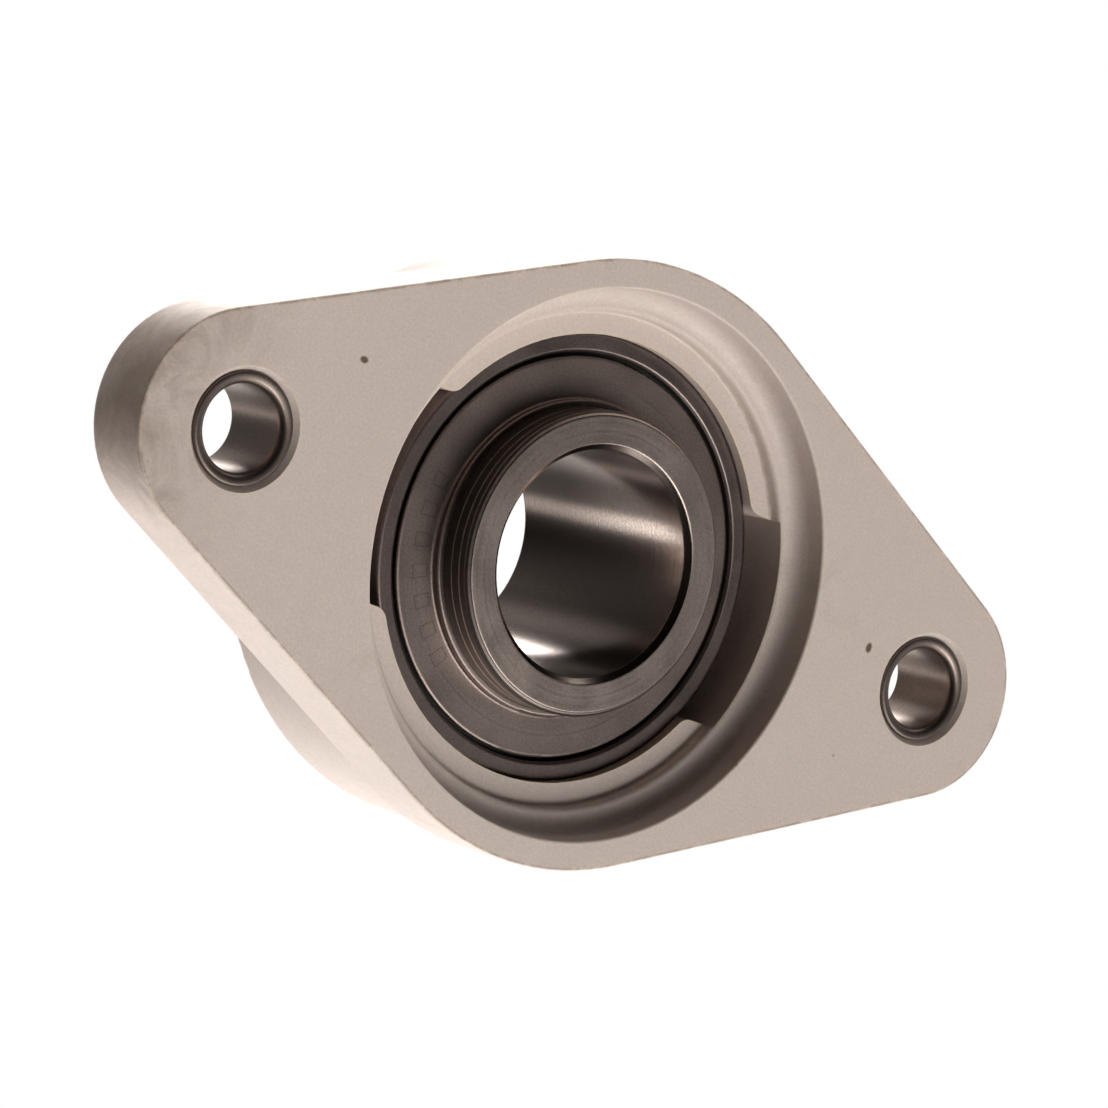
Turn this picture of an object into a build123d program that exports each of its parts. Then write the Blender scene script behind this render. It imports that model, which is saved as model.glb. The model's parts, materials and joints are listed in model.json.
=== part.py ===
from build123d import *
import os
from math import cos, radians, sin, sqrt

# Two-bolt flange mount bearing: a moulded plastic housing with steel bolt bushes, holding a
# ball bearing insert in a ball-shaped seat so that it can line itself up with its shaft.
# Frame, in millimetres: the origin is on the bore axis, in the plane of the mounting face.
# +Z runs along the bore towards the nose, and the two bolt holes lie on the X axis.

# ---- housing ----
BOLT_SPACING = 117.0
BOLT_X = BOLT_SPACING / 2
FLANGE_R = 40.0
FLANGE_END_R = 15.0
FLANGE_T = 12.0
BACK_EDGE_R = 0.25
FRONT_EDGE_R = 1.5
HOUSING_H = 31.0
BOSS_R = 39.0
BOSS_DRAFT = 1.2
BOSS_EDGE_R = 1.5
BOSS_ROOT = 2.0

# ---- recess in the mounting face ----
RECESS_R = 36.1
RECESS_FLOOR_R = 35.8
LEDGE_Z = 5.0
STEP_R = 32.7
LAND_Z = 7.0
RECESS_CORNER_R = 2.4
RECESS_EDGE_R = 0.35
STEP_EDGE_R = 0.7
LAND_CORNER_R = 0.4
MOUTH_R = 29.6

# ---- ball seat and the slots that the insert is loaded through ----
CENTRE_Z = 18.0
OUTER_R = 31.0
SEAT_CLEARANCE = 0.05
SEAT_R = OUTER_R + SEAT_CLEARANCE
SLOT_R = STEP_R + 0.25
SLOT_W = 29.0
SLOT_TOP_Z = LEDGE_Z - 0.5
SLOT_LIP_R = 2.2
FRONT_MOUTH_R = 30.2
FRONT_MOUTH_Z = 28.4
COVER_GROOVE_R = 30.7
COVER_GROOVE_W = 1.0
COVER_GROOVE_Z = 29.6

# ---- bolt bushes ----
BUSH_R = 7.15
BUSH_BORE_R = 5.5
BUSH_BACK_Z = 0.3
BUSH_FRONT_Z = 12.45
BUSH_LIP_R = 1.1
BUSH_FRONT_EDGE_R = 0.2
BUSH_RIM_R = 0.35
BUSH_SINK_R = 7.85
BUSH_SINK_DEPTH = 0.9

# ---- insert: rings ----
OUTER_W = 19.0
OUTER_BACK_Z = CENTRE_Z - OUTER_W / 2
OUTER_FRONT_Z = CENTRE_Z + OUTER_W / 2
OUTER_LAND_R = 25.6
OUTER_EDGE_R = 0.5
BORE_R = 15.0
INNER_R = 20.1
INNER_W = 38.1
INNER_OFFSET = 15.9
INNER_BACK_Z = CENTRE_Z - INNER_OFFSET
INNER_FRONT_Z = INNER_BACK_Z + INNER_W
BORE_CHAMFER = 0.8
INNER_CHAMFER = 0.7

# ---- insert: balls and raceways ----
BALLS = 9
BALL_R = 9.525 / 2
PITCH_R = 23.0
RACE_CLEARANCE = 0.02
OUTER_RACE_R = 5.0
INNER_RACE_R = 4.9
OUTER_RACE_AT = PITCH_R + BALL_R + RACE_CLEARANCE - OUTER_RACE_R
INNER_RACE_AT = PITCH_R - BALL_R - RACE_CLEARANCE + INNER_RACE_R

# ---- insert: cage ----
CAGE_T = 0.8
CAGE_POCKET_R = BALL_R + 0.12
CAGE_DOME_R = CAGE_POCKET_R + CAGE_T
CAGE_IN_R = 21.3
CAGE_OUT_R = 24.7
RIVET_R = 0.6
RIVET_HEAD_R = 1.05
RIVET_HEAD_T = 0.45
RIVET_HEAD_DRAFT = 25.0
RIVET_ANGLE = 180.0 / BALLS

# ---- insert: seals, measured outwards from the bearing's middle plane ----
STIFFENER_IN = 6.2
SEAL_IN = 6.8
SEAL_OUT = 7.9
SEAL_R = 27.6
SEAL_LIP_R = 20.15
SEAL_LIP_CUT = 0.6
STIFFENER_R = 27.1
STIFFENER_IN_R = 21.8
SEAL_MOUTH_R = 27.1
MOUTH_CHAMFER = 0.35
FLINGER_IN = 8.6
FLINGER_OUT = 9.3
FLINGER_R = 26.55
FLINGER_EDGE_R = 0.34
FLINGER_COLLAR_R = 20.95
FLINGER_COLLAR_OUT = 10.5
FLINGER_COLLAR_EDGE_R = 0.3

# ---- lubrication ----
LUBE_Z = CENTRE_Z + 5.2
LUBE_GROOVE_W = 2.0
LUBE_GROOVE_R = 29.9
LUBE_HOLE_R = 0.6

# ---- set screws ----
SCREW_R = 3.0
SCREW_CLEARANCE = 0.05
SCREW_Z = INNER_FRONT_Z - 5.0
SCREW_ANGLES = (120.0, 240.0)
SCREW_TIP = BORE_R + 0.6
SCREW_L = 6.0
SCREW_PITCH = 0.75
THREAD_DEPTH = 0.35
SOCKET_AF = 3.0
SOCKET_DEPTH = 3.0
CUP_R = 1.4
CUP_DEPTH = 0.7
CUP_TAPER = 45.0

# ---- grease nipple, on the boss's side ----
NIPPLE_ANGLE = 45.0
NIPPLE_SEAT_R = BOSS_R - 0.9
NIPPLE_THREAD_R = 3.0
NIPPLE_THREAD_L = 4.5
NIPPLE_HEX_AF = 7.0
NIPPLE_HEX_H = 3.0
NIPPLE_NECK_R = 2.2
NIPPLE_NECK_H = 4.6
NIPPLE_HEAD_R = 3.2
NIPPLE_HEAD_H = 6.4
NIPPLE_TIP_R = 1.9
NIPPLE_H = 9.0
NIPPLE_MOUTH_R = 0.9
NIPPLE_MOUTH_L = 0.6
NIPPLE_CHAMBER_R = 1.35
NIPPLE_CHAMBER_BASE = 3.4
NIPPLE_BALL_R = 1.2
NIPPLE_BALL_GAP = 0.03
NIPPLE_SPRING_R = 0.95
NIPPLE_WIRE_R = 0.16
NIPPLE_SPRING_TURNS = 4
SPOT_FACE_R = 4.6
LUBE_PASSAGE_R = 1.0

FOLDER = "parts"


def save(part, name):
    """Label a finished piece and write it as a STEP file of the same name."""
    part.label = name
    export_step(part, f"{FOLDER}/{name}.step")


def radial_plane(angle, z):
    """A plane through the bore axis whose normal points outwards at this angle and height."""
    out = (cos(radians(angle)), sin(radians(angle)), 0)
    return Plane(origin=(0, 0, z), x_dir=(0, 0, 1), z_dir=out)


def corners(section, *points):
    """The vertices of a section that lie nearest to these points."""
    return [section.vertices().sort_by_distance(point)[0] for point in points]


def rectangle_between(x0, y0, x1, y1, mode=Mode.ADD):
    """A rectangle given by two opposite corners, in the sketch being drawn."""
    with Locations(((x0 + x1) / 2, (y0 + y1) / 2)):
        Rectangle(abs(x1 - x0), abs(y1 - y0), mode=mode)


def away(side, distance):
    """Height of a level this far from the bearing's middle plane: side is -1 back, 1 front."""
    return CENTRE_Z + side * distance


# ---------------------------------------------------------------- housing
def make_housing():
    """Rhombic flange, round boss, stepped recess, ball seat, loading slots and bolt holes."""
    with BuildPart() as body:
        with BuildSketch():
            Circle(FLANGE_R)
            with Locations((-BOLT_X, 0), (BOLT_X, 0)):
                Circle(FLANGE_END_R)
            make_hull()
        extrude(amount=FLANGE_T)
        fillet(body.edges().group_by(Axis.Z)[-1], FRONT_EDGE_R)
        fillet(body.edges().group_by(Axis.Z)[0], BACK_EDGE_R)

        # round boss, a little narrower at its nose
        with BuildSketch(Plane.XY.offset(FLANGE_T - BOSS_ROOT)):
            Circle(BOSS_R)
        extrude(amount=HOUSING_H - FLANGE_T + BOSS_ROOT, taper=BOSS_DRAFT)
        fillet(body.edges().group_by(Axis.Z)[-1], BOSS_EDGE_R)

        # stepped recess in the mounting face
        with BuildSketch(Plane.XZ) as recess:
            with BuildLine():
                Polyline(
                    (0, 0),
                    (RECESS_R, 0),
                    (RECESS_FLOOR_R, LEDGE_Z),
                    (STEP_R, LEDGE_Z),
                    (STEP_R, LAND_Z),
                    (0, LAND_Z),
                    close=True,
                )
            make_face()
            fillet(corners(recess, (RECESS_FLOOR_R, LEDGE_Z)), RECESS_CORNER_R)
            fillet(corners(recess, (STEP_R, LEDGE_Z)), STEP_EDGE_R)
            fillet(corners(recess, (STEP_R, LAND_Z)), LAND_CORNER_R)
        revolve(axis=Axis.Z, mode=Mode.SUBTRACT)
        rims = body.edges().filter_by(GeomType.CIRCLE).group_by(Axis.Z)[0]
        fillet(rims.filter_by(lambda e: abs(e.radius - RECESS_R) < RECESS_EDGE_R), RECESS_EDGE_R)

        # mouth of the seat, with a loading slot on each side of the bolt line
        with BuildSketch(Plane.XY.offset(SLOT_TOP_Z)) as mouth:
            Circle(SLOT_R)
            Rectangle(2 * SLOT_R, SLOT_W, mode=Mode.INTERSECT)
            Circle(MOUTH_R)
            inner = [v for v in mouth.vertices() if Vector(v).length < MOUTH_R + SLOT_LIP_R / 10]
            fillet(inner, SLOT_LIP_R)
        extrude(amount=CENTRE_Z - SLOT_TOP_Z, mode=Mode.SUBTRACT)

        # ball seat, wider mouth at the nose and a groove for a snap-on cover
        with Locations((0, 0, CENTRE_Z)):
            Sphere(SEAT_R, mode=Mode.SUBTRACT)
        with BuildSketch(Plane.XZ):
            rectangle_between(0, FRONT_MOUTH_Z, FRONT_MOUTH_R, HOUSING_H)
            with Locations((COVER_GROOVE_R / 2, COVER_GROOVE_Z)):
                Rectangle(COVER_GROOVE_R, COVER_GROOVE_W)
        revolve(axis=Axis.Z, mode=Mode.SUBTRACT)

        # bolt holes, sunk a little round each bush
        with Locations((-BOLT_X, 0), (BOLT_X, 0)):
            Cylinder(BUSH_R, 3 * FLANGE_T, mode=Mode.SUBTRACT)
            Cone(
                BUSH_SINK_R,
                BUSH_R,
                BUSH_SINK_DEPTH,
                align=(Align.CENTER, Align.CENTER, Align.MIN),
                mode=Mode.SUBTRACT,
            )

        # flat, thread and passage for the grease nipple
        with BuildSketch(radial_plane(NIPPLE_ANGLE, LUBE_Z).offset(NIPPLE_SEAT_R)):
            Circle(SPOT_FACE_R)
        extrude(amount=BOSS_R, mode=Mode.SUBTRACT)
        with BuildSketch(radial_plane(NIPPLE_ANGLE, LUBE_Z).offset(NIPPLE_SEAT_R)):
            Circle(NIPPLE_THREAD_R)
        extrude(amount=-NIPPLE_THREAD_L, mode=Mode.SUBTRACT)
        with BuildSketch(radial_plane(NIPPLE_ANGLE, LUBE_Z).offset(NIPPLE_SEAT_R)):
            Circle(LUBE_PASSAGE_R)
        extrude(amount=CENTRE_Z - NIPPLE_SEAT_R, mode=Mode.SUBTRACT)
    save(body.part, "housing")


def make_bushes():
    """Steel bush in each bolt hole: a rolled lip at the back, and proud of the flange in front."""
    for name, x in (("bolt_bush_left", -BOLT_X), ("bolt_bush_right", BOLT_X)):
        with BuildPart() as bush:
            with BuildSketch(Plane.XY.offset(BUSH_BACK_Z)):
                with Locations((x, 0)):
                    Circle(BUSH_R)
                    Circle(BUSH_BORE_R, mode=Mode.SUBTRACT)
            extrude(amount=BUSH_FRONT_Z - BUSH_BACK_Z)
            rims = bush.edges().filter_by(GeomType.CIRCLE)
            outer = rims.filter_by(lambda e: e.radius > (BUSH_R + BUSH_BORE_R) / 2)
            inner = (rims - outer).sort_by(Axis.Z)
            fillet(inner[0], BUSH_LIP_R)
            fillet(inner[-1], BUSH_FRONT_EDGE_R)
            fillet(outer, BUSH_RIM_R)
        save(bush.part, name)


# ---------------------------------------------------------------- rings
def make_outer_ring():
    """Outer ring with a ball-shaped outside, raceway, seal seats and lubrication groove."""
    with BuildPart() as ring:
        with BuildSketch(Plane.XZ) as section:
            with Locations((0, CENTRE_Z)):
                Circle(OUTER_R)
            rectangle_between(
                OUTER_LAND_R, OUTER_BACK_Z, OUTER_R, OUTER_FRONT_Z, mode=Mode.INTERSECT
            )
            with Locations((OUTER_RACE_AT, CENTRE_Z)):
                Circle(OUTER_RACE_R, mode=Mode.SUBTRACT)
            for side in (-1, 1):
                face = away(side, OUTER_W / 2)
                rectangle_between(0, away(side, STIFFENER_IN), SEAL_MOUTH_R, face, Mode.SUBTRACT)
                rectangle_between(
                    0, away(side, SEAL_IN), SEAL_R, away(side, SEAL_OUT), Mode.SUBTRACT
                )
                edge = sqrt(OUTER_R**2 - (OUTER_W / 2) ** 2)
                fillet(corners(section, (edge, face)), OUTER_EDGE_R)
                chamfer(corners(section, (SEAL_MOUTH_R, face)), MOUTH_CHAMFER)
        revolve(axis=Axis.Z)
        with BuildSketch(Plane.XZ):
            with Locations(((LUBE_GROOVE_R + OUTER_R) / 2, LUBE_Z)):
                Rectangle(OUTER_R - LUBE_GROOVE_R, LUBE_GROOVE_W)
        revolve(axis=Axis.Z, mode=Mode.SUBTRACT)
        with Locations((0, 0, LUBE_Z)):
            Cylinder(LUBE_HOLE_R, 2 * OUTER_R, rotation=(90, 0, 0), mode=Mode.SUBTRACT)
    save(ring.part, "outer_ring")


def make_inner_ring():
    """Wide inner ring with its bore, raceway and two threaded holes near the nose."""
    with BuildPart() as ring:
        with BuildSketch(Plane.XZ) as section:
            rectangle_between(BORE_R, INNER_BACK_Z, INNER_R, INNER_FRONT_Z)
            for end in (INNER_BACK_Z, INNER_FRONT_Z):
                chamfer(corners(section, (BORE_R, end)), BORE_CHAMFER)
                chamfer(corners(section, (INNER_R, end)), INNER_CHAMFER)
            with Locations((INNER_RACE_AT, CENTRE_Z)):
                Circle(INNER_RACE_R, mode=Mode.SUBTRACT)
        revolve(axis=Axis.Z)
        for angle in SCREW_ANGLES:
            with BuildSketch(radial_plane(angle, SCREW_Z)):
                Circle(SCREW_R + SCREW_CLEARANCE)
            extrude(amount=2 * INNER_R, mode=Mode.SUBTRACT)
    save(ring.part, "inner_ring")


# ---------------------------------------------------------------- balls and cage
def make_balls():
    """Nine steel balls on the pitch circle."""
    for number in range(BALLS):
        angle = radians(360 / BALLS * number)
        with BuildPart() as ball:
            with Locations((PITCH_R * cos(angle), PITCH_R * sin(angle), CENTRE_Z)):
                Sphere(BALL_R)
        save(ball.part, f"ball_{number + 1}")


def make_cage():
    """Two pressed half cages with a dome over each ball, riveted together between the balls."""
    for name, side in (("cage_back", -1), ("cage_front", 1)):
        with BuildPart() as half:
            with Locations((0, 0, CENTRE_Z)):
                with PolarLocations(PITCH_R, BALLS):
                    Sphere(CAGE_DOME_R)
            with BuildSketch(Plane.XY.offset(CENTRE_Z)):
                Circle(CAGE_OUT_R)
            extrude(amount=side * CAGE_T)
            with BuildSketch(Plane.XY.offset(CENTRE_Z)):
                Circle(CAGE_OUT_R)
                Circle(CAGE_IN_R, mode=Mode.SUBTRACT)
            extrude(amount=side * CAGE_DOME_R, mode=Mode.INTERSECT)
            with Locations((0, 0, CENTRE_Z)):
                with PolarLocations(PITCH_R, BALLS):
                    Sphere(CAGE_POCKET_R, mode=Mode.SUBTRACT)
                with PolarLocations(PITCH_R, BALLS, start_angle=RIVET_ANGLE):
                    Cylinder(RIVET_R, 4 * CAGE_T, mode=Mode.SUBTRACT)
        save(half.part, name)
    with BuildPart() as rivets:
        with Locations((0, 0, CENTRE_Z)):
            with PolarLocations(PITCH_R, BALLS, start_angle=RIVET_ANGLE):
                Cylinder(RIVET_R, 2 * CAGE_T)
        for side in (-1, 1):
            with BuildSketch(Plane.XY.offset(away(side, CAGE_T))):
                with PolarLocations(PITCH_R, BALLS, start_angle=RIVET_ANGLE):
                    Circle(RIVET_HEAD_R)
            extrude(amount=side * RIVET_HEAD_T, taper=RIVET_HEAD_DRAFT)
    save(rivets.part, "cage_rivets")


# ---------------------------------------------------------------- seals
def make_seals():
    """On each side: a rubber seal, its steel stiffener, and a flinger pressed on the inner ring."""
    for end, side in (("back", -1), ("front", 1)):
        with BuildPart() as seal:
            with BuildSketch(Plane.XZ) as section:
                rectangle_between(SEAL_LIP_R, away(side, SEAL_IN), SEAL_R, away(side, SEAL_OUT))
                chamfer(corners(section, (SEAL_LIP_R, away(side, SEAL_IN))), SEAL_LIP_CUT)
            revolve(axis=Axis.Z)
        save(seal.part, f"seal_{end}")

        with BuildPart() as stiffener:
            with BuildSketch(Plane.XZ):
                rectangle_between(
                    STIFFENER_IN_R, away(side, STIFFENER_IN), STIFFENER_R, away(side, SEAL_IN)
                )
            revolve(axis=Axis.Z)
        save(stiffener.part, f"seal_stiffener_{end}")

        inside = away(side, FLINGER_IN)
        outside = away(side, FLINGER_OUT)
        collar = away(side, FLINGER_COLLAR_OUT)
        with BuildPart() as flinger:
            with BuildSketch(Plane.XZ) as section:
                rectangle_between(INNER_R, inside, FLINGER_R, outside)
                rectangle_between(INNER_R, inside, FLINGER_COLLAR_R, collar)
                fillet(corners(section, (FLINGER_R, inside), (FLINGER_R, outside)), FLINGER_EDGE_R)
                fillet(corners(section, (FLINGER_COLLAR_R, collar)), FLINGER_COLLAR_EDGE_R)
                fillet(corners(section, (FLINGER_COLLAR_R, outside)), FLINGER_COLLAR_EDGE_R)
            revolve(axis=Axis.Z)
        save(flinger.part, f"flinger_{end}")


# ---------------------------------------------------------------- set screws
def make_set_screws():
    """Threaded hexagon-socket screws with cup points, which grip the shaft."""
    for number, angle in enumerate(SCREW_ANGLES, start=1):
        tip = radial_plane(angle, SCREW_Z).offset(SCREW_TIP)
        head = tip.offset(SCREW_L)
        section_plane = Plane(origin=tip.origin, x_dir=tip.x_dir, z_dir=-tip.y_dir)
        with BuildPart() as screw:
            with BuildSketch(tip):
                Circle(SCREW_R)
            extrude(amount=SCREW_L)
            chamfer(screw.edges().filter_by(GeomType.CIRCLE), THREAD_DEPTH)
            with BuildSketch(section_plane):
                for turn in range(1, int(SCREW_L / SCREW_PITCH)):
                    with Locations((SCREW_R, turn * SCREW_PITCH)):
                        Rectangle(THREAD_DEPTH, THREAD_DEPTH, rotation=45)
            revolve(axis=Axis(tip.origin, tip.z_dir), mode=Mode.SUBTRACT)
            with BuildSketch(head):
                RegularPolygon(SOCKET_AF / 2, 6, major_radius=False)
            extrude(amount=-SOCKET_DEPTH, mode=Mode.SUBTRACT)
            with BuildSketch(tip):
                Circle(CUP_R)
            extrude(amount=CUP_DEPTH, taper=CUP_TAPER, mode=Mode.SUBTRACT)
        save(screw.part, f"set_screw_{number}")


# ---------------------------------------------------------------- grease nipple
def make_nipple():
    """Grease nipple with its check ball and the spring that closes it."""
    seat = radial_plane(NIPPLE_ANGLE, LUBE_Z).offset(NIPPLE_SEAT_R)
    axis = Axis(seat.origin, seat.z_dir)
    section_plane = Plane(origin=seat.origin, x_dir=seat.x_dir, z_dir=-seat.y_dir)
    chamber_top = NIPPLE_H - NIPPLE_MOUTH_L
    with BuildPart() as nipple:
        with BuildSketch(section_plane):
            with BuildLine():
                Polyline(
                    (0, -NIPPLE_THREAD_L),
                    (NIPPLE_THREAD_R, -NIPPLE_THREAD_L),
                    (NIPPLE_THREAD_R, 0),
                    (NIPPLE_NECK_R, 0),
                    (NIPPLE_NECK_R, NIPPLE_NECK_H),
                    (NIPPLE_HEAD_R, NIPPLE_HEAD_H),
                    (NIPPLE_TIP_R, NIPPLE_H),
                    (0, NIPPLE_H),
                    close=True,
                )
            make_face()
        revolve(axis=axis)
        with BuildSketch(seat):
            RegularPolygon(NIPPLE_HEX_AF / 2, 6, major_radius=False)
        extrude(amount=NIPPLE_HEX_H)
        with BuildSketch(section_plane):
            rectangle_between(0, -NIPPLE_THREAD_L, NIPPLE_MOUTH_R, NIPPLE_H)
            rectangle_between(0, NIPPLE_CHAMBER_BASE, NIPPLE_CHAMBER_R, chamber_top)
        revolve(axis=axis, mode=Mode.SUBTRACT)
    save(nipple.part, "nipple_body")

    ball_drop = sqrt(NIPPLE_BALL_R**2 - NIPPLE_MOUTH_R**2) + NIPPLE_BALL_GAP
    ball_at = chamber_top - ball_drop
    with BuildPart() as ball:
        with Locations(seat.offset(ball_at)):
            Sphere(NIPPLE_BALL_R)
    save(ball.part, "nipple_ball")

    low = NIPPLE_CHAMBER_BASE + NIPPLE_WIRE_R
    touch = sqrt((NIPPLE_BALL_R + NIPPLE_WIRE_R) ** 2 - NIPPLE_SPRING_R**2)
    high = ball_at - touch - NIPPLE_BALL_GAP
    with BuildPart() as spring:
        with BuildLine() as coil:
            Helix(
                (high - low) / NIPPLE_SPRING_TURNS,
                high - low,
                NIPPLE_SPRING_R,
                center=seat.offset(low).origin,
                direction=seat.z_dir,
            )
        with BuildSketch(Plane(coil.line @ 0, z_dir=coil.line % 0)):
            Circle(NIPPLE_WIRE_R)
        sweep()
    save(spring.part, "nipple_spring")


def main():
    os.makedirs(FOLDER, exist_ok=True)
    make_housing()
    make_bushes()
    make_outer_ring()
    make_inner_ring()
    make_balls()
    make_cage()
    make_seals()
    make_set_screws()
    make_nipple()


main()
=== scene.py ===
import json
import math

import bpy
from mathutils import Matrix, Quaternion, Vector


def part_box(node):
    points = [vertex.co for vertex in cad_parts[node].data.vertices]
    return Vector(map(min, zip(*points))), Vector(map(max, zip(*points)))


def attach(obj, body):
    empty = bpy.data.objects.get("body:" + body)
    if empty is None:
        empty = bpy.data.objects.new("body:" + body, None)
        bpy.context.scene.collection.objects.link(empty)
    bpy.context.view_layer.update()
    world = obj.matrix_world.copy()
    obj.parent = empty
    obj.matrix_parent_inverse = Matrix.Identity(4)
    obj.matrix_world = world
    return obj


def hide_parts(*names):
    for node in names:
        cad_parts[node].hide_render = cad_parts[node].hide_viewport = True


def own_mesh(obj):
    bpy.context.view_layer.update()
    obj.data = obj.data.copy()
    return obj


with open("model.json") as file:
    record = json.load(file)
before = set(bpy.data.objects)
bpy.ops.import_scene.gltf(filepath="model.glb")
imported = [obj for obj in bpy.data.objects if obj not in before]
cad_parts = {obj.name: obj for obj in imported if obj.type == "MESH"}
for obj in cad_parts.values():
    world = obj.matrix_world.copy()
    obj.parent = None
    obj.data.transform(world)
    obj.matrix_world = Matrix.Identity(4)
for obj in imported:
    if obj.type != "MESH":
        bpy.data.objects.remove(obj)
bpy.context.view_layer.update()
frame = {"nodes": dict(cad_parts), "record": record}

# Everything is in metres, in the part's own frame: the origin is on the bore axis in the plane
# of the mounting face, +Z runs towards the nose and the bolt holes lie on the X axis.
MM = 0.001
MOUNTS = {mount["name"]: mount["dims"] for mount in frame["record"]["mounts"]}
BOLT_X = MOUNTS["bolt_holes"]["spacing_x_mm"] / 2 * MM
BOLT_R = MOUNTS["bolt_holes"]["hole_r_mm"] * MM
BORE_R = MOUNTS["shaft_bore"]["r_mm"] * MM
FLANGE_X, FLANGE_Y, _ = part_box("housing")[1]
RING_R, _, RING_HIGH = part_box("inner_ring")[1]
RING_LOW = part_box("inner_ring")[0][2]

# ---- camera: from the mounting-face side, looking up through the bore ----
VIEW_AZIMUTH = math.radians(-96.17)
VIEW_ELEVATION = math.radians(-53.56)
VIEW_ROLL = math.radians(-76.72)
VIEW_DISTANCE = 0.59117
VIEW_AIM = Vector((-5.43, 0.46, 4.02)) * MM
LENS = 148.56
SENSOR = 36.0

# ---- studio ----
FLOOR_SIZE = 4.0
FLOOR_COLOUR = (0.82, 0.82, 0.81, 1.0)
WHITE = (1.0, 1.0, 1.0)
ROOM = (0.012, 0.010, 0.009)
PANEL_COLOUR = (1.0, 0.97, 0.94)

# Large soft panels round the part: direction, half angle of the full part, half angle where
# it has faded out, brightness. -Z is the side the camera sees, +Z the side of the nose.
PANELS = {
    "side_low": ((0.40, 0.86, 0.30), 6, 34, 4.3),
    "side_high": ((0.22, -0.90, 0.38), 6, 34, 3.6),
    "key": ((0.27, 0.52, -0.81), 8, 32, 4.0),
    "key_side": ((0.48, 0.69, -0.54), 6, 34, 0.8),
    "end_high": ((0.50, -0.80, 0.30), 8, 34, 3.4),
    "end": ((0.99, -0.13, -0.07), 6, 34, 1.0),
    "nose": ((0.58, 0.37, 0.72), 6, 34, 0.8),
    "behind": ((0.54, -0.28, 0.79), 6, 22, 2.9),
    "above": ((0.0, 0.0, 1.0), 4, 28, 0.9),
    "left_high": ((-0.36, -0.84, 0.40), 6, 34, 1.8),
    "left_low": ((-0.42, 0.84, 0.34), 6, 34, 1.5),
    # Small or dim ones that the bore reflects: two streaks and the grey between them.
    "bore_wash": ((0.05, 0.62, 0.78), 12, 42, 0.20),
    "bore_dim": ((-0.30, -0.35, 0.88), 10, 45, 0.08),
    "bore_low": ((-0.36, 0.50, 0.79), 1, 7, 2.4),
    "bore_high": ((0.24, -0.56, 0.79), 1, 9, 8.0),
}

# ---- moulded plastic ----
PLASTIC = (0.84, 0.72, 0.66)
PLASTIC_SHADE = (0.785, 0.67, 0.61)
PLASTIC_MOTTLE = (0.775, 0.675, 0.615)
PLASTIC_EDGE = (0.88, 0.74, 0.50)
SMUDGE = (0.56, 0.46, 0.37)
GRIME = (0.38, 0.29, 0.23)
END_WALL_DARK = (0.33, 0.24, 0.19)
SPECK = (0.06, 0.045, 0.03)
DIRT = (0.13, 0.075, 0.035)
BURNT = (0.20, 0.10, 0.05)
SKIN_DEPTH = 1.6 * MM
SKIN_TINT = (1.0, 0.62, 0.38)

# How fine each pattern in the plastic is, in features per metre.
CLOUDS = 38
END_WALL_PATCHES = 60
SPECKS = 62
SMUDGES = 75
GRIME_PATCHES = 150
BURR_BREAKS = 230
MOTTLE = 420
GRAIN = 2600

# How far wear reaches in from an edge, and how wide the burr along the mounting face is.
PLASTIC_WEAR = 0.9 * MM
BURR_WIDTH = 0.8 * MM

# Dirt marks on the mounting face: middle as a share of the flange's half length and half
# width, size along X and Y in millimetres, and strength.
MARKS = (
    (-0.617, -0.333, 0.70, 0.55, 0.95),
    (0.636, -0.065, 0.55, 0.75, 0.95),
    (-0.525, -0.665, 1.5, 0.5, 0.55),
)
MARK_REACH = 0.8 * MM

# Inside these radii round the bore and the bolt holes the mounting face has no moulding burr.
RECESS_RIM_R = 38.5 * MM
BOLT_RIM_R = 10.5 * MM

# ---- steel: colour, darker colour and roughness ----
STEELS = {
    "bush": ((0.20, 0.162, 0.145), (0.155, 0.126, 0.112), 0.44),
    "outer_ring": ((0.22, 0.182, 0.168), (0.18, 0.147, 0.137), 0.37),
    "inner_ring": ((0.43, 0.36, 0.328), (0.36, 0.30, 0.274), 0.36),
    "front_flinger": ((0.52, 0.45, 0.42), (0.42, 0.36, 0.335), 0.36),
    "back_flinger": ((0.29, 0.238, 0.217), (0.235, 0.192, 0.175), 0.40),
    "pressing": ((0.55, 0.53, 0.50), (0.45, 0.43, 0.40), 0.35),
    "ball": ((0.72, 0.72, 0.73), (0.66, 0.66, 0.67), 0.08),
    "screw": ((0.34, 0.31, 0.29), (0.22, 0.20, 0.19), 0.34),
    "nipple": ((0.66, 0.64, 0.60), (0.56, 0.54, 0.50), 0.25),
}
# Painted highlight: a pale colour laid along the steel edges, and how far in from an edge it
# reaches.
STEEL_EDGE_HIGHLIGHT = (0.85, 0.74, 0.67)
STEEL_HIGHLIGHT_REACH = 0.2 * MM
STEEL_ROUNDING = 0.3 * MM
STRUCK = (0.1, 0.08, 0.07)

# How fine each pattern in the steel is, in features per metre.
STEEL_PATCHES = 160
DRAWN_RINGS = 1800
TURNED_RINGS = 2600
STEEL_GRAIN = 3200

# How deep the marks of turning and of polishing are.
TURNED = 0.004 * MM
POLISHED = 0.001 * MM

# Walls of another finish: the radii they lie between, colours and roughness.
BUSH_WALL_R = (0.0, BOLT_R + 0.8 * MM)
BUSH_WALL = (0.27, 0.22, 0.195)
BUSH_WALL_ROUGH = 0.34
BORE_WALL_R = (0.0, BORE_R + MM)
# Painted reflections in the bore: a dimmed and a brightened colour of its steel.
BORE_DIMMED = (0.16, 0.13, 0.115)
BORE_BRIGHTENED = (0.50, 0.42, 0.38)
BORE_ROUGH = 0.19

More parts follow.
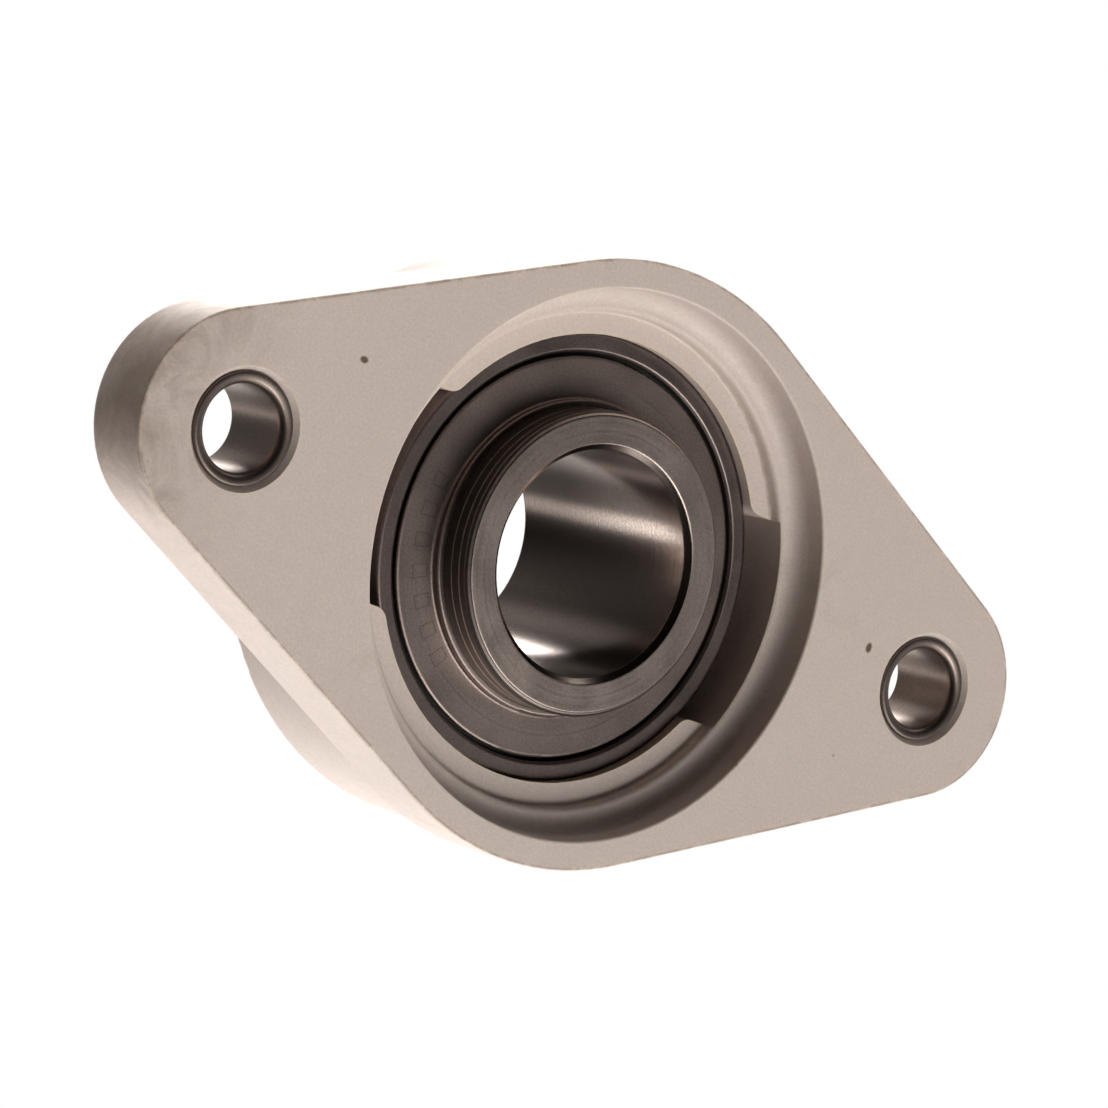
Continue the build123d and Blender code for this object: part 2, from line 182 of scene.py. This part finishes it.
# Painted highlight and shade in the bore. Places along the bore and across it run from -1 to 1.
# The bore is brightened between these products of the two, but stays dimmed along its top and in a
# streak along one side.
BORE_BRIGHT_FADE = (-0.30, 0.42)
BORE_TOP_DIMMING = (-0.96, -0.82)
DIM_STREAK_MIDDLE = 0.5
DIM_STREAK_HALF_WIDTH = (0.12, 0.28)

# The outside of the inner ring: the radii it lies between, a painted shade colour towards the
# mounting face, its own colour, and roughness.
COLLAR_R = (RING_R - 0.8 * MM, RING_R + 0.9 * MM)
COLLAR_SHADED = (0.12, 0.10, 0.09)
COLLAR_UNSHADED = (0.52, 0.45, 0.415)
COLLAR_ROUGH = 0.42

# Painted highlight lines round the outside of the inner ring, for light caught on its steps and
# chamfer: height above its rear face.
HIGHLIGHT_LINES = (0.25 * MM, 1.9 * MM, 3.6 * MM)
HIGHLIGHT_LINE_COLOUR = (0.85, 0.74, 0.68)
HIGHLIGHT_LINE_WIDTH = 0.24 * MM

# The row of struck boxes on the back flinger: radius and height, angles from -X towards +Y,
# half width as a share of the pitch, and half a line as a share of half a box.
STAMP_R = 22.9 * MM
STAMP_HEIGHT = 2.4 * MM
STAMP_FROM = math.radians(-14)
STAMP_TO = math.radians(56)
STAMP_COUNT = 7
STAMP_HALF_WIDTH = 0.24
STAMP_HALF_LINE = 0.10
STAMP_DEPTH = 0.06 * MM

# ---- seals ----
RUBBER = (0.012, 0.012, 0.012)
RUBBER_BLOOM = (0.035, 0.033, 0.031)
BLOOM_PATCHES = 500
RUBBER_GRAIN = 2500


# ------------------------------------------------------------ node helpers
def add(tree, kind, inputs=None, out=0, **settings):
    """Add one node, set or link its inputs by name or number, and return one output."""
    node = tree.nodes.new(kind)
    for key, value in settings.items():
        setattr(node, key, value)
    for key, value in (inputs or {}).items():
        if isinstance(value, bpy.types.NodeSocket):
            tree.links.new(value, node.inputs[key])
        else:
            node.inputs[key].default_value = value
    return node.outputs[out]


def maths(tree, operation, a, b=0.0):
    """Math node."""
    return add(tree, "ShaderNodeMath", {0: a, 1: b}, operation=operation)


def near(tree, value, target, margin):
    """1 where a value is within a margin of the target, else 0."""
    inputs = {0: value, 1: target, 2: margin}
    return add(tree, "ShaderNodeMath", inputs, operation="COMPARE")


def both(tree, *masks):
    """The product of masks: 1 where all of them are 1."""
    product = masks[0]
    for mask in masks[1:]:
        product = maths(tree, "MULTIPLY", product, mask)
    return product


def rescale(tree, value, low, high, to_low=0.0, to_high=1.0, smooth=False):
    """Map Range node, clamped."""
    kind = "SMOOTHSTEP" if smooth else "LINEAR"
    inputs = {0: value, 1: low, 2: high, 3: to_low, 4: to_high}
    return add(tree, "ShaderNodeMapRange", inputs, interpolation_type=kind)


def blend_colours(tree, factor, a, b, kind="MIX"):
    """Mix node for colours; colours are sockets or (r, g, b)."""
    colours = [c if isinstance(c, bpy.types.NodeSocket) else (*c, 1.0) for c in (a, b)]
    inputs = {0: factor, 6: colours[0], 7: colours[1]}
    return add(tree, "ShaderNodeMix", inputs, out=2, data_type="RGBA", blend_type=kind)


def shaded(tree, tone, brightness):
    """A colour multiplied by a brightness."""
    grey = add(tree, "ShaderNodeCombineColor", {0: brightness, 1: brightness, 2: brightness})
    return blend_colours(tree, 1.0, tone, grey, "MULTIPLY")


def noise(tree, vector, per_metre, detail=4.0, rough=0.5, distort=0.0):
    """Noise whose features are about 1 / per_metre metres across."""
    inputs = {"Vector": vector, "Scale": per_metre, "Detail": detail, "Roughness": rough,
              "Distortion": distort}
    return add(tree, "ShaderNodeTexNoise", inputs)


def bump(tree, height, distance, strength=1.0, normal=None):
    """Bump node, with its height in metres."""
    inputs = {"Height": height, "Distance": distance, "Strength": strength}
    if normal is not None:
        inputs["Normal"] = normal
    return add(tree, "ShaderNodeBump", inputs)


def new_material(name):
    """An empty node material with a Principled shader: returns (material, tree, shader)."""
    material = bpy.data.materials.new(name)
    material.use_nodes = True
    tree = material.node_tree
    return material, tree, tree.nodes["Principled BSDF"]


def finish_shader(tree, shader, tone, rough, relief):
    """Link what varies over the surface: its colour, roughness and relief."""
    tree.links.new(tone, shader.inputs["Base Color"])
    tree.links.new(rough, shader.inputs["Roughness"])
    tree.links.new(relief, shader.inputs["Normal"])


def place(tree):
    """Object coordinates, which are the part's own frame in metres."""
    return add(tree, "ShaderNodeTexCoord", out=3)


def coordinates(tree, at):
    """The X, Y and Z of a place."""
    return add(tree, "ShaderNodeSeparateXYZ", {0: at}).node.outputs


def distance_from_axis(tree, at, centre_x):
    """Radius about an axis along Z through (centre_x, 0), and the height along it."""
    x, y, z = coordinates(tree, at)
    across = maths(tree, "SUBTRACT", x, centre_x)
    squares = maths(tree, "ADD", maths(tree, "MULTIPLY", across, across),
                    maths(tree, "MULTIPLY", y, y))
    return maths(tree, "SQRT", squares), z


def upright(tree):
    """1 on walls that run along Z, 0 on faces square to it."""
    normal = add(tree, "ShaderNodeNewGeometry", out=3)
    along = add(tree, "ShaderNodeSeparateXYZ", {0: normal}, out=2)
    return maths(tree, "SUBTRACT", 1.0, maths(tree, "ABSOLUTE", along))


def edge_mask(tree, radius):
    """1 near sharp edges, 0 on flat ground, from how far a rounded normal turns away."""
    rounded = add(tree, "ShaderNodeBevel", {"Radius": radius}, samples=6)
    straight = add(tree, "ShaderNodeNewGeometry", out=1)
    facing = add(tree, "ShaderNodeVectorMath", {0: rounded, 1: straight}, out=1,
                 operation="DOT_PRODUCT")
    return rescale(tree, facing, 0.995, 0.80)


# ------------------------------------------------------------ moulded plastic
def plastic_ground(tree, at, cloud, mottle):
    """Off-white, faintly mottled, with thin smudges."""
    tone = blend_colours(tree, cloud, PLASTIC_SHADE, PLASTIC)
    tone = blend_colours(tree, rescale(tree, mottle, 0.35, 0.7), tone, PLASTIC_MOTTLE)
    smudge = rescale(tree, noise(tree, at, SMUDGES, 5, 0.65, 0.4), 0.60, 0.78, 0.0, 0.40)
    return blend_colours(tree, smudge, tone, SMUDGE)


def darker_at_end(tree, at, tone):
    """Grime towards the flange's end at -X, and the wall round that end darker in patches."""
    x = coordinates(tree, at)[0]
    handled = rescale(tree, x, -0.72 * FLANGE_X, -FLANGE_X, smooth=True)
    grime = rescale(tree, noise(tree, at, GRIME_PATCHES, 6, 0.7, 0.8), 0.42, 0.68, 0.18, 0.75)
    tone = blend_colours(tree, both(tree, handled, grime), tone, GRIME)
    # The wall round the -X end made darker in patches.
    end = rescale(tree, x, -0.94 * FLANGE_X, -0.99 * FLANGE_X, smooth=True)
    wall = rescale(tree, upright(tree), 0.5, 0.9)
    end_wall_dark_share = rescale(tree, noise(tree, at, END_WALL_PATCHES, 4, 0.6, 0.5), 0.36, 0.60, 0.30, 0.75)
    return blend_colours(tree, both(tree, end, wall, end_wall_dark_share), tone, END_WALL_DARK)


def mark_on_face(tree, at, middle, size, wobble):
    """1 inside an uneven mark on the mounting face at middle (x, y), 0 outside, in metres."""
    x, y, z = coordinates(tree, at)
    across = maths(tree, "DIVIDE", maths(tree, "SUBTRACT", x, middle[0]), size[0])
    along = maths(tree, "DIVIDE", maths(tree, "SUBTRACT", y, middle[1]), size[1])
    up = maths(tree, "DIVIDE", z, MARK_REACH)
    apart = add(tree, "ShaderNodeCombineXYZ", {0: across, 1: along, 2: up})
    gap = add(tree, "ShaderNodeVectorMath", {0: apart}, out=1, operation="LENGTH")
    return rescale(tree, maths(tree, "ADD", gap, wobble), 1.65, 1.05, smooth=True)


def specks_and_marks(tree, at, tone, wobble):
    """Fine dark specks all over, and the dirt marks of the mounting face."""
    specks = add(tree, "ShaderNodeTexVoronoi", {"Vector": at, "Scale": SPECKS})
    tone = blend_colours(tree, rescale(tree, specks, 0.035, 0.02), tone, SPECK)
    for x, y, size_x, size_y, strength in MARKS:
        middle = (x * FLANGE_X, y * FLANGE_Y)
        mark = mark_on_face(tree, at, middle, (size_x * MM, size_y * MM), wobble)
        tone = blend_colours(tree, both(tree, mark, strength), tone, DIRT)
    return tone


def moulding_burr(tree, at):
    """1 along the outline of the mounting face, broken up, where the mould left a burnt burr."""
    from_bore, height = distance_from_axis(tree, at, 0.0)
    outline = maths(tree, "GREATER_THAN", from_bore, RECESS_RIM_R)
    for centre_x in (-BOLT_X, BOLT_X):
        from_bolt, _ = distance_from_axis(tree, at, centre_x)
        outline = both(tree, outline, maths(tree, "GREATER_THAN", from_bolt, BOLT_RIM_R))
    edge = rescale(tree, edge_mask(tree, BURR_WIDTH), 0.02, 0.35)
    on_face = rescale(tree, height, 1.2 * MM, 0.4 * MM)
    broken = rescale(tree, noise(tree, at, BURR_BREAKS, 5, 0.75), 0.42, 0.54)
    return both(tree, edge, on_face, outline, broken)


def moulding_edges(tree, at, tone):
    """Paler edges all round, browned by the burr along the mounting face."""
    worn_edge_and_highlight = both(tree, edge_mask(tree, PLASTIC_WEAR), 0.6)
    tone = blend_colours(tree, worn_edge_and_highlight, tone, PLASTIC_EDGE)
    return blend_colours(tree, both(tree, moulding_burr(tree, at), 0.85), tone, BURNT)


def moulded_plastic():
    """Off-white thermoplastic: faint mottle, grime, a few dark specks, browned moulding edges."""
    material, tree, shader = new_material("moulded_plastic")
    at = place(tree)
    cloud = noise(tree, at, CLOUDS, 3)
    mottle = noise(tree, at, MOTTLE, 4, 0.6)
    grain = noise(tree, at, GRAIN, 2)
    tone = plastic_ground(tree, at, cloud, mottle)
    tone = darker_at_end(tree, at, tone)
    tone = specks_and_marks(tree, at, tone, mottle)
    tone = moulding_edges(tree, at, tone)
    tone = shaded(tree, tone, rescale(tree, grain, 0.3, 0.7, 0.93, 1.06))
    shader.inputs["Subsurface Weight"].default_value = 0.12
    shader.inputs["Subsurface Radius"].default_value = SKIN_TINT
    shader.inputs["Subsurface Scale"].default_value = SKIN_DEPTH
    rough = rescale(tree, mottle, 0.3, 0.7, 0.40, 0.54)
    relief = bump(tree, grain, 0.02 * MM, 0.5)
    relief = bump(tree, cloud, 0.25 * MM, 0.35, relief)
    finish_shader(tree, shader, tone, rough, relief)
    return material


# ------------------------------------------------------------ steel
def on_walls(tree, radius, between):
    """1 on walls that run along Z with a radius between the two given, else 0."""
    steep = maths(tree, "GREATER_THAN", upright(tree), 0.1)
    beyond = maths(tree, "GREATER_THAN", radius, between[0])
    within = maths(tree, "LESS_THAN", radius, between[1])
    return both(tree, steep, beyond, within)


def bush_colour(tree, at):
    """Plain drawn tube, the same all over."""
    return BUSH_WALL


def painted_bore_reflections(tree, at):
    """Ground bore with painted reflections: brightened at the near mouth above and at the far one
    below.
    """
    _, y, z = coordinates(tree, at)
    along = rescale(tree, z, RING_LOW, RING_HIGH, -1.0, 1.0)
    side = maths(tree, "DIVIDE", y, BORE_R)
    # Painted highlight: the bore brightened where this product is high.
    brighter_share = rescale(tree, maths(tree, "MULTIPLY", along, side), *BORE_BRIGHT_FADE, smooth=True)
    apart = maths(tree, "ABSOLUTE", maths(tree, "SUBTRACT", side, DIM_STREAK_MIDDLE))
    off_streak = rescale(tree, apart, *DIM_STREAK_HALF_WIDTH, 0.30, 1.0)
    off_top = rescale(tree, side, *BORE_TOP_DIMMING, 0.25, 1.0)
    return blend_colours(tree, both(tree, brighter_share, off_streak, off_top), BORE_DIMMED, BORE_BRIGHTENED)


def collar_shade_and_highlights(tree, at):
    """The outside of the inner ring: painted shade towards the mounting face, its own colour at
    the nose, and painted highlight lines.
    """
    height = coordinates(tree, at)[2]
    length = RING_HIGH - RING_LOW
    # Painted shade: darker towards the mounting face.
    brighter_share = rescale(tree, height, RING_LOW + 0.3 * length, RING_LOW + 0.6 * length)
    tone = blend_colours(tree, brighter_share, COLLAR_SHADED, COLLAR_UNSHADED)
    # Painted highlights: thin pale lines round the ring at these heights.
    for above in HIGHLIGHT_LINES:
        highlight_line = near(tree, height, RING_LOW + above, HIGHLIGHT_LINE_WIDTH / 2)
        tone = blend_colours(tree, both(tree, highlight_line, 0.7), tone, HIGHLIGHT_LINE_COLOUR)
    return tone


def stamped_boxes(tree, at):
    """A row of small struck boxes on the disc, in place of a designation: 1 on their lines."""
    radius, _ = distance_from_axis(tree, at, 0.0)
    x, y, _ = coordinates(tree, at)
    angle = maths(tree, "ARCTAN2", y, maths(tree, "MULTIPLY", x, -1.0))
    turn = rescale(tree, angle, STAMP_FROM, STAMP_TO, 0.0, STAMP_COUNT)
    step = maths(tree, "SUBTRACT", maths(tree, "FRACT", turn), 0.5)
    wide = maths(tree, "DIVIDE", maths(tree, "ABSOLUTE", step), STAMP_HALF_WIDTH)
    rise = maths(tree, "ABSOLUTE", maths(tree, "SUBTRACT", radius, STAMP_R))
    tall = maths(tree, "DIVIDE", rise, STAMP_HEIGHT / 2)
    reach = maths(tree, "MAXIMUM", wide, tall)
    return near(tree, reach, 1 - STAMP_HALF_LINE, STAMP_HALF_LINE)


def turned_marks(tree, radius, height, per_metre):
    """Fine rings round the axis, from noise that depends only on radius and height."""
    travel = maths(tree, "ADD", radius, maths(tree, "MULTIPLY", height, 1.3))
    inputs = {"W": travel, "Scale": per_metre, "Detail": 5.0, "Roughness": 0.7}
    return add(tree, "ShaderNodeTexNoise", inputs, noise_dimensions="1D")


def lay_walls(tree, at, radius, tone, gloss, walls):
    """Colour and roughness with the finish of each wall laid over them."""
    for between, wall_colour, wall_rough in walls:
        here = on_walls(tree, radius, between)
        tone = blend_colours(tree, here, tone, wall_colour(tree, at))
        gloss = add(tree, "ShaderNodeMix", {0: here, 2: gloss, 3: wall_rough})
    return tone, gloss


def steel_relief(tree, marks, fine, depth):
    """Rounded edges, turning marks and a fine grain."""
    rounded = add(tree, "ShaderNodeBevel", {"Radius": STEEL_ROUNDING}, samples=6)
    relief = bump(tree, marks, depth, 0.6, rounded)
    return bump(tree, fine, depth, 0.5, relief)


def steel(name, kind, rings=TURNED_RINGS, centre_x=0.0, depth=TURNED, walls=(), stamp=None):
    """Turned or ground steel with concentric marks about an axis parallel to the bore.

    walls lists (radii, colour function, roughness) for walls of another finish; stamp is a
    function that draws struck marks.
    """
    colour, shade, rough = STEELS[kind]
    material, tree, shader = new_material(name)
    at = place(tree)
    radius, height = distance_from_axis(tree, at, centre_x)
    marks = turned_marks(tree, radius, height, rings)
    patch = noise(tree, at, STEEL_PATCHES, 4, 0.6)
    fine = noise(tree, at, STEEL_GRAIN, 2)
    tone = blend_colours(tree, patch, shade, colour)
    tone = blend_colours(tree, rescale(tree, marks, 0.3, 0.7, 0.0, 0.35), tone, colour)
    gloss = rescale(tree, patch, 0.3, 0.7, rough - 0.04, rough + 0.05)
    tone, gloss = lay_walls(tree, at, radius, tone, gloss, walls)
    gloss = maths(tree, "ADD", gloss, rescale(tree, marks, 0.3, 0.7, -0.03, 0.05))
    relief = steel_relief(tree, marks, fine, depth)
    if stamp is not None:
        struck = stamp(tree, at)
        tone = blend_colours(tree, both(tree, struck, 0.35), tone, STRUCK)
        relief = bump(tree, maths(tree, "SUBTRACT", 1.0, struck), STAMP_DEPTH, 0.7, relief)
    tone = shaded(tree, tone, rescale(tree, fine, 0.3, 0.7, 0.86, 1.14))
    # Painted highlight: the steel made paler along its edges.
    worn_edge_and_highlight = both(tree, edge_mask(tree, STEEL_HIGHLIGHT_REACH), 0.65)
    tone = blend_colours(tree, worn_edge_and_highlight, tone, STEEL_EDGE_HIGHLIGHT)
    shader.inputs["Metallic"].default_value = 1.0
    finish_shader(tree, shader, tone, gloss, relief)
    return material


# ------------------------------------------------------------ rubber
def rubber():
    """Black nitrile rubber with a dusty bloom."""
    material, tree, shader = new_material("seal_rubber")
    at = place(tree)
    bloom = noise(tree, at, BLOOM_PATCHES, 4, 0.6)
    tone = blend_colours(tree, bloom, RUBBER, RUBBER_BLOOM)
    rough = rescale(tree, bloom, 0.3, 0.7, 0.55, 0.75)
    relief = bump(tree, noise(tree, at, RUBBER_GRAIN), 0.01 * MM)
    finish_shader(tree, shader, tone, rough, relief)
    return material


# ------------------------------------------------------------ pieces
def paint(material, *names):
    """Give CAD nodes this material."""
    for name in names:
        slots = frame["nodes"][name].data.materials
        slots.clear()
        slots.append(material)


def paint_everything():
    """One finish for each kind of piece."""
    balls = [name for name in frame["nodes"] if name.startswith("ball_")]
    bush_wall = (BUSH_WALL_R, bush_colour, BUSH_WALL_ROUGH)
    bore_wall = (BORE_WALL_R, painted_bore_reflections, BORE_ROUGH)
    collar = (COLLAR_R, collar_shade_and_highlights, COLLAR_ROUGH)
    paint(moulded_plastic(), "housing")
    for name, x in (("bolt_bush_left", -BOLT_X), ("bolt_bush_right", BOLT_X)):
        paint(steel(name + "_steel", "bush", DRAWN_RINGS, x, walls=[bush_wall]), name)
    paint(steel("ring_steel", "outer_ring"), "outer_ring")
    paint(steel("inner_ring_steel", "inner_ring", walls=[bore_wall, collar]), "inner_ring")
    paint(steel("flinger_steel", "front_flinger"), "flinger_front")
    paint(steel("stamped_flinger_steel", "back_flinger", stamp=stamped_boxes), "flinger_back")
    paint(steel("cage_steel", "pressing"),
          "cage_back", "cage_front", "cage_rivets", "seal_stiffener_back", "seal_stiffener_front")
    paint(steel("ball_steel", "ball", depth=POLISHED), "nipple_ball", *balls)
    paint(steel("screw_steel", "screw"), "set_screw_1", "set_screw_2", "nipple_spring")
    paint(steel("nipple_steel", "nipple"), "nipple_body")
    paint(rubber(), "seal_back", "seal_front")


def make_coil():
    """A copy of the nipple's spring, carried by the housing, in place of the spring itself."""
    node = frame["nodes"]["nipple_spring"]
    coil = bpy.data.objects.new("nipple_coil", node.data.copy())
    bpy.context.scene.collection.objects.link(coil)
    coil.matrix_world = node.matrix_world
    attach(coil, "housing")
    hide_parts("nipple_spring")
    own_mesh(coil)


# ------------------------------------------------------------ studio
def make_camera():
    """The camera, from its angle, distance and roll."""
    flat = math.cos(VIEW_ELEVATION)
    back = Vector((math.sin(VIEW_AZIMUTH) * flat, -math.cos(VIEW_AZIMUTH) * flat,
                   math.sin(VIEW_ELEVATION)))
    data = bpy.data.cameras.new("camera")
    data.lens = LENS
    data.sensor_width = SENSOR
    data.clip_start = 10 * MM
    camera = bpy.data.objects.new("camera", data)
    bpy.context.scene.collection.objects.link(camera)
    camera.location = VIEW_AIM + back * VIEW_DISTANCE
    camera.rotation_mode = "QUATERNION"
    level = (-back).to_track_quat("-Z", "Y")
    camera.rotation_quaternion = level @ Quaternion((0, 0, 1), VIEW_ROLL)
    bpy.context.scene.camera = camera


def make_floor():
    """A plain pale floor under the part, seen only by the camera and only from above."""
    half = FLOOR_SIZE / 2
    mesh = bpy.data.meshes.new("floor")
    mesh.from_pydata([(-half, -half, 0), (half, -half, 0), (half, half, 0), (-half, half, 0)],
                     [], [(0, 1, 2, 3)])
    floor = bpy.data.objects.new("floor", mesh)
    bpy.context.scene.collection.objects.link(floor)
    material, tree, shader = new_material("floor")
    shader.inputs["Base Color"].default_value = FLOOR_COLOUR
    shader.inputs["Roughness"].default_value = 0.8
    clear = add(tree, "ShaderNodeBsdfTransparent")
    under = add(tree, "ShaderNodeNewGeometry", out=6)
    mixed = add(tree, "ShaderNodeMixShader", {0: under, 1: shader.outputs[0], 2: clear})
    tree.links.new(mixed, tree.nodes["Material Output"].inputs["Surface"])
    mesh.materials.append(material)
    floor.visible_diffuse = False
    floor.visible_glossy = False
    floor.visible_transmission = False
    floor.visible_shadow = False


def panel_glow(tree, direction, towards, full, faded, brightness):
    """How bright one panel is in a direction."""
    centre = tuple(Vector(towards).normalized())
    facing = add(tree, "ShaderNodeVectorMath", {0: direction, 1: centre}, out=1,
                 operation="DOT_PRODUCT")
    outside, inside = math.cos(math.radians(faded)), math.cos(math.radians(full))
    return rescale(tree, facing, outside, inside, 0.0, brightness, smooth=True)


def make_surroundings():
    """White to the camera; to everything else a dark room with soft bright panels."""
    world = bpy.data.worlds.new("surroundings")
    bpy.context.scene.world = world
    world.use_nodes = True
    tree = world.node_tree
    direction = add(tree, "ShaderNodeTexCoord", out=0)
    total = 0.0
    for panel in PANELS.values():
        total = maths(tree, "ADD", panel_glow(tree, direction, *panel), total)
    panels = add(tree, "ShaderNodeVectorMath", {0: PANEL_COLOUR, 3: total}, operation="SCALE")
    lit = add(tree, "ShaderNodeVectorMath", {0: panels, 1: ROOM}, operation="ADD")
    seen = add(tree, "ShaderNodeLightPath", out=0)
    background = tree.nodes["Background"]
    tree.links.new(blend_colours(tree, seen, lit, WHITE), background.inputs["Color"])


def make_studio():
    """Surroundings, floor, camera and a plain colour response."""
    make_surroundings()
    make_floor()
    make_camera()
    bpy.context.scene.view_settings.view_transform = "Standard"


paint_everything()
make_coil()
make_studio()
